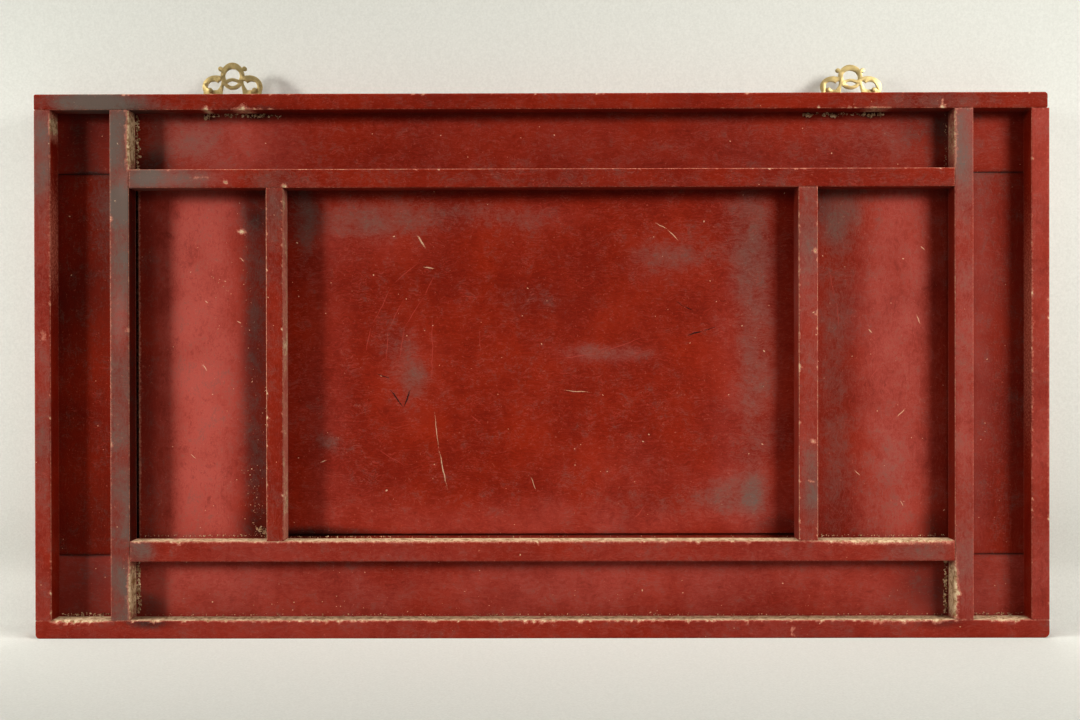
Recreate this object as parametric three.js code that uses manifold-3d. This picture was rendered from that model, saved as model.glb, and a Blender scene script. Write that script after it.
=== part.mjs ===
// Red lacquered framed door panel: an outer frame, a flat lattice standing proud of recessed boards,
// and two pierced brass hangers let into the back of the top rail.
// Millimetres. X runs to the right, Y away from the viewer, Z up.
// The origin lies on the back of the top rail, halfway along the panel and halfway up the rail.
import * as THREE from "three";
import { mergeVertices } from "three/addons/utils/BufferGeometryUtils.js";
import Module from "manifold-3d";

const wasm = await Module();
wasm.setup();

// Outer frame. The top rail stops a little short of the right stile's outer face.
const FRAME_LEFT = -445;
const FRAME_RIGHT = 445;
const FRAME_TOP = 7;
const FRAME_BOTTOM = -471;
const FRAME_DEPTH = 34;
const TOP_RAIL_HEIGHT = 14;
const BOTTOM_RAIL_HEIGHT = 16;
const LEFT_STILE_WIDTH = 14.5;
const RIGHT_STILE_WIDTH = 16;
const TOP_RAIL_SHORT_OF_STILE = 1.5;
const CORNER_TOP_LEFT = 1.5;
const CORNER_TOP_RIGHT = 2.5;
const CORNER_BOTTOM_LEFT = 3.5;
const CORNER_BOTTOM_RIGHT = 4.5;
const CORNER_AT_A_JOINT = 1.5;

// Lattice: the left and right edges of its uprights, and the upper and lower edges of its rails
const LONG_STILE_LEFT = [-378.5, -361.5];
const LONG_STILE_RIGHT = [362, 378.5];
const SHORT_STILE_LEFT = [-241.5, -226.5];
const SHORT_STILE_RIGHT = [225.5, 242.5];
const INNER_RAIL_TOP = [-59, -75.5];
const INNER_RAIL_BOTTOM = [-385.5, -403.5];
const LATTICE_DEPTH = 19;
const SHORT_STILE_DEPTH = 22;

// Boards. The ground boards lie right behind the lattice, the three field boards a little deeper.
const GROUND_DEPTH = 19;
const FIELD_DEPTH = 22;
const BOARDS_BACK_DEPTH = 29;
const UPPER_SEAM = -60.5;
const LOWER_SEAM = -400.5;
const GROUND_SET_BACK = 2;
const FIELD_JOINT = 234;
const TONGUE_DEPTH = 25;
const LEFT_FIELD_SHRINKAGE = 1.25;
const CENTRE_FIELD_SHRINKAGE = 3.25;
const BOARD_GAP = 0.25;

// Grooves that hold the boards in the outer frame
const GROOVE_INTO_FRAME = 5;

// Rounding of the edges that hands touch
const ARRIS = 1;
const ARRIS_STEPS = 3;

// Hangers: one casting each, in its own outline, with its foot in a housing in the back of the top rail
const HANGER_THICKNESS = 2.375;
const HANGER_BACK_BELOW_FACE = 0.875;
const HANGER_LEFT = { x: -277.75, widthScale: 1, heightScale: 1, lean: 0 };
const HANGER_RIGHT = { x: 279.25, widthScale: 1.02, heightScale: 0.9, lean: -0.04 };
const HOUSING = { halfWidth: 28, foot: 10, depth: 3.375 };
const RING = { z: 22.2, halfWidth: 10.7, halfHeight: 12.2 };
const EYE = { z: 22.3, halfWidth: 6.7, halfHeight: 6.5, openingAngle: 2.14, bandRise: 1.5 };
const LENS = { halfWidth: 5, middle: 15.8, top: 17.7, bottom: 13.2 };
const LOBE = { x: 15, z: 12.4, halfWidth: 12, halfHeight: 10.6 };
const EAR = { x: 10.7, z: 28.8, radius: 2.1 };
const BASE = { halfWidth: 26, top: 8, foot: 9.5 };
const ARCH = { low: 3, high: 16, halfWidthLow: 9.8, halfWidthHigh: 7.9 };
const BOSS = { x: 20, z: 9.4, radius: 2.1, height: 1 };
const CURVE_STEPS = 12;

// Nails through the feet of the hangers
const NAIL = { x: 20, z: -4.5, headRadius: 2.25, headHeight: 0.75, shankRadius: 0.9, length: 14 };
const NAIL_HOLE_RADIUS = 1.05;
const NAIL_SIDES = 12;

// Lacquer, wood and brass
const frameLacquer = new THREE.MeshStandardMaterial({ color: 0x7a2b22, roughness: 0.45, metalness: 0 });
const latticeLacquer = new THREE.MeshStandardMaterial({ color: 0x74332c, roughness: 0.45, metalness: 0 });
const boardLacquer = new THREE.MeshStandardMaterial({ color: 0x79231a, roughness: 0.4, metalness: 0 });
const oldBrass = new THREE.MeshStandardMaterial({ color: 0x9c8a5e, roughness: 0.45, metalness: 1 });

const FRONT = -FRAME_DEPTH;
const GROOVE_FRONT = GROUND_DEPTH - BOARD_GAP;
const GROOVE_BACK = BOARDS_BACK_DEPTH + BOARD_GAP;
const LEFT_OPENING = FRAME_LEFT + LEFT_STILE_WIDTH;
const RIGHT_OPENING = FRAME_RIGHT - RIGHT_STILE_WIDTH;
const TOP_OPENING = FRAME_TOP - TOP_RAIL_HEIGHT;
const BOTTOM_OPENING = FRAME_BOTTOM + BOTTOM_RAIL_HEIGHT;
const BOARD_INTO_GROOVE = GROOVE_INTO_FRAME - BOARD_GAP;

const panel = new THREE.Group();

function addPiece(name, geometry, material, parent = panel) {
  const mesh = new THREE.Mesh(geometry, material.clone());
  mesh.name = name;
  parent.add(mesh);
  return mesh;
}

// Joining and cutting

function solidOf(geometry) {
  const bare = geometry.clone();
  bare.deleteAttribute("normal");
  bare.deleteAttribute("uv");
  const merged = mergeVertices(bare, 1e-4);
  return new wasm.Manifold(
    new wasm.Mesh({
      numProp: 3,
      vertProperties: merged.attributes.position.array,
      triVerts: new Uint32Array(merged.index.array),
    }),
  );
}

function geometryOf(solid) {
  const mesh = solid.getMesh();
  const geometry = new THREE.BufferGeometry();
  geometry.setAttribute("position", new THREE.BufferAttribute(mesh.vertProperties, 3));
  geometry.setIndex(new THREE.BufferAttribute(mesh.triVerts, 1));
  geometry.computeVertexNormals();
  return geometry;
}

function cut(geometry, tools) {
  return geometryOf(tools.reduce((solid, tool) => solid.subtract(solidOf(tool)), solidOf(geometry)));
}

function join(geometries) {
  return geometryOf(geometries.map(solidOf).reduce((joined, next) => joined.add(next)));
}

// A block between two corners
function block([x0, x1], [y0, y1], [z0, z1]) {
  const geometry = new THREE.BoxGeometry(x1 - x0, y1 - y0, z1 - z0);
  return geometry.translate((x0 + x1) / 2, (y0 + y1) / 2, (z0 + z1) / 2);
}

// Turns a drawing of the front view, x to the right and y up, into a plate between two depths
function plate(drawing, backY, thickness, options = {}) {
  const geometry = new THREE.ExtrudeGeometry(drawing, {
    depth: thickness,
    bevelEnabled: false,
    curveSegments: CURVE_STEPS,
    ...options,
  });
  return geometry.rotateX(Math.PI / 2).translate(0, backY, 0);
}

// Outer frame rails

function roundedOutline([x0, x1], [z0, z1], corners) {
  const outline = new THREE.Shape();
  outline.moveTo(x0 + corners.bottomLeft, z0);
  outline.lineTo(x1 - corners.bottomRight, z0);
  outline.absarc(x1 - corners.bottomRight, z0 + corners.bottomRight, corners.bottomRight, -Math.PI / 2, 0);
  outline.lineTo(x1, z1 - corners.topRight);
  outline.absarc(x1 - corners.topRight, z1 - corners.topRight, corners.topRight, 0, Math.PI / 2);
  outline.lineTo(x0 + corners.topLeft, z1);
  outline.absarc(x0 + corners.topLeft, z1 - corners.topLeft, corners.topLeft, Math.PI / 2, Math.PI);
  outline.lineTo(x0, z0 + corners.bottomLeft);
  outline.absarc(x0 + corners.bottomLeft, z0 + corners.bottomLeft, corners.bottomLeft, Math.PI, 1.5 * Math.PI);
  return outline;
}

function frameRail(xs, zs, corners, grooveZs) {
  const rail = plate(roundedOutline(xs, zs, corners), -ARRIS, FRAME_DEPTH - 2 * ARRIS, {
    bevelEnabled: true,
    bevelThickness: ARRIS,
    bevelSize: ARRIS,
    bevelOffset: -ARRIS,
    bevelSegments: ARRIS_STEPS,
    curveSegments: ARRIS_STEPS,
  });
  const grooveXs = [LEFT_OPENING - GROOVE_INTO_FRAME, RIGHT_OPENING + GROOVE_INTO_FRAME];
  const groove = block(grooveXs, [FRONT + GROOVE_FRONT, FRONT + GROOVE_BACK], grooveZs);
  return { rail, groove };
}

function bottomRail() {
  const { rail, groove } = frameRail(
    [FRAME_LEFT, FRAME_RIGHT],
    [FRAME_BOTTOM, BOTTOM_OPENING],
    {
      bottomLeft: CORNER_BOTTOM_LEFT,
      bottomRight: CORNER_BOTTOM_RIGHT,
      topRight: CORNER_AT_A_JOINT,
      topLeft: CORNER_AT_A_JOINT,
    },
    [BOTTOM_OPENING - GROOVE_INTO_FRAME, BOTTOM_OPENING + ARRIS],
  );
  return cut(rail, [groove]);
}

function topRail() {
  const { rail, groove } = frameRail(
    [FRAME_LEFT, FRAME_RIGHT - TOP_RAIL_SHORT_OF_STILE],
    [TOP_OPENING, FRAME_TOP],
    {
      bottomLeft: CORNER_AT_A_JOINT,
      bottomRight: CORNER_AT_A_JOINT,
      topRight: CORNER_TOP_RIGHT,
      topLeft: CORNER_TOP_LEFT,
    },
    [TOP_OPENING - ARRIS, TOP_OPENING + GROOVE_INTO_FRAME],
  );
  const cuts = [groove];
  for (const { x } of [HANGER_LEFT, HANGER_RIGHT]) {
    cuts.push(hangerHousing(x));
    for (const side of [-1, 1]) cuts.push(nailHole(x + side * NAIL.x, FRAME_TOP + NAIL.z));
  }
  return cut(rail, cuts);
}

function hangerHousing(x) {
  const xs = [x - HOUSING.halfWidth, x + HOUSING.halfWidth];
  return block(xs, [-HOUSING.depth, ARRIS], [FRAME_TOP - HOUSING.foot, FRAME_TOP + ARRIS]);
}

function nailHole(x, z) {
  const length = NAIL.length + 2 * ARRIS;
  const hole = new THREE.CylinderGeometry(NAIL_HOLE_RADIUS, NAIL_HOLE_RADIUS, length, NAIL_SIDES);
  return hole.translate(x, ARRIS - length / 2, z);
}

// Bars: a section drawn across the bar (x) and from its front to its back (y), run along the bar

function barSection(width, depth, groove) {
  const section = new THREE.Shape();
  section.moveTo(0, depth);
  section.lineTo(0, ARRIS);
  section.absarc(ARRIS, ARRIS, ARRIS, Math.PI, 1.5 * Math.PI);
  section.lineTo(width - ARRIS, 0);
  section.absarc(width - ARRIS, ARRIS, ARRIS, 1.5 * Math.PI, 2 * Math.PI);
  if (groove) {
    section.lineTo(width, groove.front);
    section.lineTo(width - groove.depth, groove.front);
    section.lineTo(width - groove.depth, groove.back);
    section.lineTo(width, groove.back);
  }
  section.lineTo(width, depth);
  section.closePath();
  return section;
}

function mirrored(section, width) {
  const points = section.getPoints(ARRIS_STEPS).map((point) => new THREE.Vector2(width - point.x, point.y));
  return new THREE.Shape(points);
}

function bar(section, length) {
  return new THREE.ExtrudeGeometry(section, {
    depth: length,
    bevelEnabled: false,
    curveSegments: ARRIS_STEPS,
  });
}

function addUpright(name, [left, right], [low, high], depth, material) {
  const upright = addPiece(name, bar(barSection(right - left, depth), high - low), material);
  upright.position.set(left, FRONT, low);
}

function addLatticeRail(name, [upper, lower]) {
  const length = LONG_STILE_RIGHT[0] - LONG_STILE_LEFT[1];
  const rail = addPiece(name, bar(barSection(upper - lower, LATTICE_DEPTH), length), latticeLacquer);
  rail.rotation.y = Math.PI / 2;
  rail.position.set(LONG_STILE_LEFT[1], FRONT, upper);
}

function addFrame() {
  addPiece("frame_top_rail", topRail(), frameLacquer);
  addPiece("frame_bottom_rail", bottomRail(), frameLacquer);
  const groove = { front: GROOVE_FRONT, back: GROOVE_BACK, depth: GROOVE_INTO_FRAME };
  const height = TOP_OPENING - BOTTOM_OPENING;
  const leftSection = barSection(LEFT_STILE_WIDTH, FRAME_DEPTH, groove);
  const left = addPiece("frame_left_stile", bar(leftSection, height), frameLacquer);
  left.position.set(FRAME_LEFT, FRONT, BOTTOM_OPENING);
  const rightSection = mirrored(barSection(RIGHT_STILE_WIDTH, FRAME_DEPTH, groove), RIGHT_STILE_WIDTH);
  const right = addPiece("frame_right_stile", bar(rightSection, height), frameLacquer);
  right.position.set(RIGHT_OPENING, FRONT, BOTTOM_OPENING);
}

function addLattice() {
  const tall = [BOTTOM_OPENING, TOP_OPENING];
  addUpright("inner_stile_left", LONG_STILE_LEFT, tall, LATTICE_DEPTH, latticeLacquer);
  addUpright("inner_stile_right", LONG_STILE_RIGHT, tall, LATTICE_DEPTH, latticeLacquer);
  addLatticeRail("inner_rail_top", INNER_RAIL_TOP);
  addLatticeRail("inner_rail_bottom", INNER_RAIL_BOTTOM);
  const short = [INNER_RAIL_BOTTOM[0], INNER_RAIL_TOP[1]];
  addUpright("short_stile_left", SHORT_STILE_LEFT, short, SHORT_STILE_DEPTH, latticeLacquer);
  addUpright("short_stile_right", SHORT_STILE_RIGHT, short, SHORT_STILE_DEPTH, latticeLacquer);
}

// Boards

function addBoard(name, [x0, x1], [z0, z1], frontDepth) {
  const thickness = BOARDS_BACK_DEPTH - frontDepth;
  const board = addPiece(name, new THREE.BoxGeometry(x1 - x0, thickness, z1 - z0), boardLacquer);
  board.position.set((x0 + x1) / 2, FRONT + (frontDepth + BOARDS_BACK_DEPTH) / 2, (z0 + z1) / 2);
}

// A board with a thinner tongue along one edge, where it has shrunk away from the lattice.
// Its section runs from that edge (x = 0) across the board, and from its front to its back (y).
function tonguedSection(width, tongue) {
  const section = new THREE.Shape();
  section.moveTo(0, TONGUE_DEPTH - FIELD_DEPTH);
  section.lineTo(tongue, TONGUE_DEPTH - FIELD_DEPTH);
  section.lineTo(tongue, 0);
  section.lineTo(width, 0);
  section.lineTo(width, BOARDS_BACK_DEPTH - FIELD_DEPTH);
  section.lineTo(0, BOARDS_BACK_DEPTH - FIELD_DEPTH);
  section.closePath();
  return section;
}

function addBoards() {
  const across = [LEFT_OPENING - BOARD_INTO_GROOVE, RIGHT_OPENING + BOARD_INTO_GROOVE];
  const leftEdge = LONG_STILE_LEFT[1] - GROUND_SET_BACK;
  const rightEdge = LONG_STILE_RIGHT[0] + GROUND_SET_BACK;
  const between = [LOWER_SEAM + BOARD_GAP, UPPER_SEAM - BOARD_GAP];
  addBoard("board_top", across, [UPPER_SEAM, TOP_OPENING + BOARD_INTO_GROOVE], GROUND_DEPTH);
  addBoard("board_bottom", across, [BOTTOM_OPENING - BOARD_INTO_GROOVE, LOWER_SEAM], GROUND_DEPTH);
  addBoard("board_left", [across[0], leftEdge], between, GROUND_DEPTH);
  addBoard("board_right", [rightEdge, across[1]], between, GROUND_DEPTH);
  addBoard("field_right", [FIELD_JOINT, rightEdge - BOARD_GAP], between, FIELD_DEPTH);

  const leftStart = leftEdge + BOARD_GAP;
  const leftTongue = LONG_STILE_LEFT[1] + LEFT_FIELD_SHRINKAGE - leftStart;
  const leftSection = tonguedSection(-FIELD_JOINT - leftStart, leftTongue);
  const left = addPiece("field_left", bar(leftSection, between[1] - between[0]), boardLacquer);
  left.position.set(leftStart, FRONT + FIELD_DEPTH, between[0]);

  const centreTongue = INNER_RAIL_BOTTOM[0] + CENTRE_FIELD_SHRINKAGE - between[0];
  const centreSection = tonguedSection(between[1] - between[0], centreTongue);
  const centreLength = 2 * (FIELD_JOINT - BOARD_GAP);
  const centre = addPiece("field_centre", bar(centreSection, centreLength), boardLacquer);
  centre.rotation.y = -Math.PI / 2;
  centre.position.set(FIELD_JOINT - BOARD_GAP, FRONT + FIELD_DEPTH, between[0]);
}

// Hangers, drawn from the front with z measured up from the top of the rail

function ellipse(x, z, halfWidth, halfHeight) {
  const outline = new THREE.Shape();
  outline.absellipse(x, z, halfWidth, halfHeight, 0, 2 * Math.PI);
  return outline;
}

// The round opening of the ring, closed below by a band that arches upwards
function eyeOpening() {
  const eye = new THREE.Shape();
  const cornerX = EYE.halfWidth * Math.sin(EYE.openingAngle);
  const cornerZ = EYE.z + EYE.halfHeight * Math.cos(EYE.openingAngle);
  const start = Math.PI / 2 - EYE.openingAngle;
  eye.absellipse(0, EYE.z, EYE.halfWidth, EYE.halfHeight, start, Math.PI - start);
  eye.quadraticCurveTo(0, cornerZ + 2 * EYE.bandRise, cornerX, cornerZ);
  return eye;
}

// The narrow opening between the band and the foot of the ring
function lensOpening() {
  const lens = new THREE.Shape();
  lens.moveTo(-LENS.halfWidth, LENS.middle);
  lens.quadraticCurveTo(0, 2 * LENS.bottom - LENS.middle, LENS.halfWidth, LENS.middle);
  lens.quadraticCurveTo(0, 2 * LENS.top - LENS.middle, -LENS.halfWidth, LENS.middle);
  return lens;
}

// The opening inside a side scroll, with a cusp hanging from its upper edge. side is -1 or 1.
function scrollOpening(side) {
  const opening = new THREE.Shape();
  opening.moveTo(side * 13.6, 9.6);
  opening.lineTo(side * 20.4, 9.6);
  opening.quadraticCurveTo(side * 22.4, 10.6, side * 22.4, 13.4);
  opening.quadraticCurveTo(side * 21.6, 17.6, side * 17, 17.6);
  opening.quadraticCurveTo(side * 14.4, 17.4, side * 13.2, 16);
  opening.quadraticCurveTo(side * 12.2, 18, side * 9.8, 18.2);
  opening.quadraticCurveTo(side * 9.6, 13.6, side * 13.6, 9.6);
  return opening;
}

function archOpening() {
  const arch = new THREE.Shape();
  arch.moveTo(-ARCH.halfWidthLow, ARCH.low);
  arch.lineTo(ARCH.halfWidthLow, ARCH.low);
  arch.lineTo(ARCH.halfWidthHigh, ARCH.high);
  arch.lineTo(-ARCH.halfWidthHigh, ARCH.high);
  arch.closePath();
  return arch;
}

function baseBar() {
  const base = new THREE.Shape();
  base.moveTo(-BASE.halfWidth, -BASE.foot);
  base.lineTo(BASE.halfWidth, -BASE.foot);
  base.lineTo(BASE.halfWidth, BASE.top);
  base.lineTo(-BASE.halfWidth, BASE.top);
  base.closePath();
  return base;
}

// One hanger about its own foot: x from its middle, z up from the top of the rail, its back face at y = 0
function hangerGeometry() {
  const through = (drawing) => plate(drawing, 1, HANGER_THICKNESS + 2);
  const solid = (drawing) => plate(drawing, 0, HANGER_THICKNESS);
  const sides = [-1, 1];
  const foot = join([
    solid(baseBar()),
    ...sides.map((side) => solid(ellipse(side * LOBE.x, LOBE.z, LOBE.halfWidth, LOBE.halfHeight))),
  ]);
  const pierced = cut(foot, [through(archOpening()), ...sides.map((side) => through(scrollOpening(side)))]);
  const ring = join([
    solid(ellipse(0, RING.z, RING.halfWidth, RING.halfHeight)),
    ...sides.map((side) => solid(ellipse(side * EAR.x, EAR.z, EAR.radius, EAR.radius))),
  ]);
  const bosses = sides.map((side) =>
    plate(ellipse(side * BOSS.x, BOSS.z, BOSS.radius, BOSS.radius), 0, HANGER_THICKNESS + BOSS.height),
  );
  return cut(join([pierced, ring, ...bosses]), [through(eyeOpening()), through(lensOpening())]);
}

// Holes for the nails, which stay round and upright on a hanger that leans
function hangerNailHoles() {
  return [-1, 1].map((side) => {
    const hole = new THREE.CylinderGeometry(NAIL_HOLE_RADIUS, NAIL_HOLE_RADIUS, 3 * HANGER_THICKNESS, NAIL_SIDES);
    return hole.translate(side * NAIL.x, 0, NAIL.z);
  });
}

function nailGeometry() {
  const profile = [
    new THREE.Vector2(0, -NAIL.length),
    new THREE.Vector2(NAIL.shankRadius, 2 - NAIL.length),
    new THREE.Vector2(NAIL.shankRadius, 0),
    new THREE.Vector2(NAIL.headRadius, 0),
    new THREE.Vector2(NAIL.headRadius * 0.8, NAIL.headHeight * 0.7),
    new THREE.Vector2(0, NAIL.headHeight),
  ];
  return new THREE.LatheGeometry(profile, NAIL_SIDES);
}

// The part above the rail may lean and be shorter; the foot below it stays square in its housing.
function shapeHanger(geometry, { widthScale, heightScale, lean }) {
  const position = geometry.getAttribute("position");
  for (let i = 0; i < position.count; i += 1) {
    const z = position.getZ(i);
    if (z > 0) {
      position.setX(i, position.getX(i) * widthScale + z * lean);
      position.setZ(i, z * heightScale);
    }
  }
  return geometry;
}

function addHanger(name, place) {
  const group = new THREE.Group();
  group.position.set(place.x, -HANGER_BACK_BELOW_FACE, FRAME_TOP);
  panel.add(group);
  const hanger = cut(shapeHanger(hangerGeometry(), place), hangerNailHoles());
  addPiece(name, hanger, oldBrass, group);
  [-1, 1].forEach((side, index) => {
    const nail = addPiece(name + "_nail_" + (index + 1), nailGeometry(), oldBrass, group);
    nail.position.set(side * NAIL.x, BOARD_GAP / 2, NAIL.z);
  });
}

addFrame();
addLattice();
addBoards();
addHanger("hanger_left", HANGER_LEFT);
addHanger("hanger_right", HANGER_RIGHT);

export default panel;
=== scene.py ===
"""Red lacquered framed door panel with two pierced brass hangers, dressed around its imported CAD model."""

import math
import random

import bmesh
import bpy
from bpy.props import FloatProperty, FloatVectorProperty, PointerProperty
from mathutils import Euler, Matrix, Vector, noise


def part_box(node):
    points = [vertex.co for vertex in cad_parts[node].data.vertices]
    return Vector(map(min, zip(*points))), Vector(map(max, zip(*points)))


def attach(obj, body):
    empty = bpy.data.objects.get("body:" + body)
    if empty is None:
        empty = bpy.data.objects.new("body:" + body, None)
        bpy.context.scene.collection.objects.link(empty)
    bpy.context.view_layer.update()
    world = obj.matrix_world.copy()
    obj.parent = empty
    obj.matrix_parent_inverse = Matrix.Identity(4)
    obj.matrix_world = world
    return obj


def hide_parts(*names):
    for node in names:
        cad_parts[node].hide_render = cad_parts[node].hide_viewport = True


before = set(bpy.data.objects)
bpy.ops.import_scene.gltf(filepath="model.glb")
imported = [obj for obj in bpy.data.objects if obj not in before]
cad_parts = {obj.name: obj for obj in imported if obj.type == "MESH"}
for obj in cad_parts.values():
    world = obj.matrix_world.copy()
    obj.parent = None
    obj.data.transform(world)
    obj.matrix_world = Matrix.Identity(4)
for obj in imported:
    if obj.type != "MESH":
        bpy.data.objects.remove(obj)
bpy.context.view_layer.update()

bl_info = {
    "name": "Lacquered door panel",
    "version": (1, 0, 0),
    "blender": (4, 5, 0),
    "location": "View3D > Sidebar > Door panel",
    "description": "A red lacquered framed door panel with two pierced brass hangers",
    "category": "Add Mesh",
}

MM = 0.001
FACE = -34.0
GROUND = -15.0
FIELD = -12.0


def linear(code):
    """Turns an sRGB hex colour into the linear colour that a shader takes."""
    channels = [int(code[i : i + 2], 16) / 255 for i in (1, 3, 5)]
    return [c / 12.92 if c <= 0.04045 else ((c + 0.055) / 1.055) ** 2.4 for c in channels] + [1.0]


def colour(name, description, code):
    """A colour that a user may change."""
    return FloatVectorProperty(
        name=name, description=description, subtype="COLOR", size=4, min=0.0, max=1.0, default=linear(code)
    )


def length(name, description, millimetres):
    """A size that a user may change, kept in metres."""
    return FloatProperty(name=name, description=description, unit="LENGTH", min=0.0, default=millimetres * MM)


def share(name, description, default):
    """A share from nothing to all."""
    return FloatProperty(name=name, description=description, subtype="FACTOR", min=0.0, max=1.0, default=default)


def power(name, description, watts):
    """The power of a light."""
    return FloatProperty(name=name, description=description, unit="POWER", min=0.0, default=watts)


class DOORPANEL_PG_lacquer(bpy.types.PropertyGroup):
    """Colours and wear of the lacquer"""

    deep: colour("Deep red", "Lacquer that dust and light have spared", "#6d1806")
    warm: colour("Warm red", "Lacquer where the light has warmed it", "#7e2006")
    # The faded red is also painted light: it lightens the lit middles of the side fields, the lit strip of the right
    # compartment and the ledges
    faded: colour("Faded red", "Lacquer bleached and rubbed to a chalky pink", "#9f4237")
    film: colour("Grey film", "Dust and old polish dried to a grey film", "#5d5650")
    # The rubbed edge colour is partly a painted highlight: the pale pink lines it gives along the rounded edges stand
    # in for their glint
    rubbed: colour("Rubbed edge", "Lacquer rubbed thin over its gesso along the edges", "#b57866")
    # The grime colour is partly painted shade: besides dirt it darkens the corners, the seams, the left compartment and
    # the shadow bands at the left field's edges
    grime_and_shade: colour("Grime", "Dirt in the corners", "#220a06")
    gesso: colour("Gesso", "Chalk ground that shows where the lacquer is chipped", "#cdb596")
    bare: colour("Bare wood", "Softwood under the gesso", "#8d6a4a")
    stroke: colour("Dark stroke", "Strokes of old ink on the middle field", "#1d1413")
    roughness: share("Roughness", "Roughness of the clean lacquer", 0.42)


class DOORPANEL_PG_wood(bpy.types.PropertyGroup):
    """Sizes of the woodwork's surface"""

    step: length("Step along", "Length of the small faces along a bar", 2.0)
    step_across: length("Step across", "Width of the small faces across a bar", 2.5)
    board_step: length("Step on a board", "Size of the small faces on a board", 3.0)
    eased_edge: length("Eased edge", "Rounding of the boards' edges at the seams", 0.4)
    wave: length("Wave", "How far the boards' faces dip", 0.25)
    nick: length("Nick", "How deep the edges of the bars are worn", 0.45)


class DOORPANEL_PG_brass(bpy.types.PropertyGroup):
    """Colours and sizes of the hangers and nails"""

    metal: colour("Brass", "Old cast brass where it is rubbed", "#b9a678")
    patina: colour("Patina", "Brown tarnish in the hollows", "#6b5f45")
    edge: length("Edge", "Rounding of the castings' edges", 0.45)
    ridge: length("Ridge", "Half the width of the raised lines", 0.9)


class DOORPANEL_PG_stage(bpy.types.PropertyGroup):
    """Floor, backdrop and lights"""

    paper: colour("Paper", "Pale paper of the floor and backdrop", "#cbcdca")
    left: power("Left light", "Power of the soft light on the left", 3.8)
    right: power("Right light", "Power of the soft light on the right", 3.2)
    above: power("Overhead light", "Power of the soft light above", 26.0)
    behind: power("Back light", "Power of the soft light behind, which the front doesn't see", 20.0)


# Pieces of the woodwork: the CAD node that each stands for, the way its grain runs, its share of faded,
# filmed and grimy lacquer, and how worn its front edges are on the left, right, top and bottom. The grime of
# the left compartment's board is partly painted shade, the fade of the lower board is partly painted light,
# and the worn front edges are partly painted highlights
BARS = {
    "top_rail": ("frame_top_rail", "X", 0.03, 0.04, 0.08, (0.3, 0.3, 0.5, 0.5)),
    "bottom_rail": ("frame_bottom_rail", "X", 0.22, 0.06, 0.05, (0.3, 0.4, 0.9, 0.2)),
    "left_stile": ("frame_left_stile", "Z", 0.22, 0.12, 0.04, (0.45, 0.55, 0.2, 0.2)),
    "right_stile": ("frame_right_stile", "Z", 0.35, 0.05, 0.02, (0.45, 0.5, 0.2, 0.2)),
    "long_stile_left": ("inner_stile_left", "Z", 0.18, 0.42, 0.14, (0.6, 0.6, 0.3, 0.3)),
    "long_stile_right": ("inner_stile_right", "Z", 0.40, 0.16, 0.03, (0.65, 0.55, 0.3, 0.3)),
    "upper_rail": ("inner_rail_top", "X", 0.05, 0.08, 0.08, (0.3, 0.3, 0.65, 0.35)),
    "lower_rail": ("inner_rail_bottom", "X", 0.22, 0.06, 0.03, (0.2, 0.2, 1.0, 0.25)),
    "short_stile_left_bar": ("short_stile_left", "Z", 0.08, 0.10, 0.06, (0.95, 0.6, 0.2, 0.2)),
    "short_stile_right_bar": ("short_stile_right", "Z", 0.30, 0.15, 0.03, (0.8, 0.75, 0.2, 0.2)),
}
BOARDS = {
    "upper_board": ("board_top", "X", 0.10, 0.04, 0.03),
    "lower_board": ("board_bottom", "X", 0.36, 0.05, 0.03),
    "left_board": ("board_left", "Z", 0.0, 0.02, 0.3),
    "right_board": ("board_right", "Z", 0.10, 0.06, 0.15),
    "left_field": ("field_left", "Z", 0.12, 0.04, 0.04),
    "middle_field": ("field_centre", "X", 0.04, 0.0, 0.02),
    "right_field": ("field_right", "Z", 0.12, 0.06, 0.03),
}

# Soft patches on the front, in millimetres: middle x and z, half width, half height, and how strong
# The fading patches in the middles of the side fields and along the right compartment's inner wall are partly painted
# light, where the lamps reach between the shadows
FADED_AND_PAINTED_LIGHT = {
    "upper_board": ((-290, -32, 60, 30, 0.45), (330, -30, 80, 28, 0.12)),
    "lower_board": ((-300, -428, 60, 26, 0.3), (60, -430, 120, 24, 0.1)),
    "left_field": ((-306, -230, 36, 300, 0.85), (-306, -320, 20, 60, 0.15)),
    "middle_field": (
        (187, -227, 34, 150, 0.22),
        (174, -348, 45, 28, 0.2),
        (57, -221, 44, 8, 0.25),
        (-117, -236, 30, 40, 0.12),
        (16, -372, 170, 20, 0.3),
        (-162, -358, 54, 26, 0.12),
        (-160, -110, 60, 30, 0.2),
        (-20, -100, 60, 12, 0.15),
        (113, -134, 36, 24, 0.12),
        (-190, -240, 20, 140, 0.12),
        (70, -330, 60, 30, 0.1),
    ),
    "right_field": ((318, -240, 32, 260, 0.5),),
    "right_board": ((386, -240, 14, 260, 0.3),),
    "long_stile_left": ((-370, -190, 6, 26, 0.5), (-366, -72, 5, 12, 0.5)),
    "upper_rail": ((-330, -67, 30, 10, 0.4), (-285, -67, 20, 8, 0.35)),
    "long_stile_right": ((371, -300, 8, 50, 0.25),),
}
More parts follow.
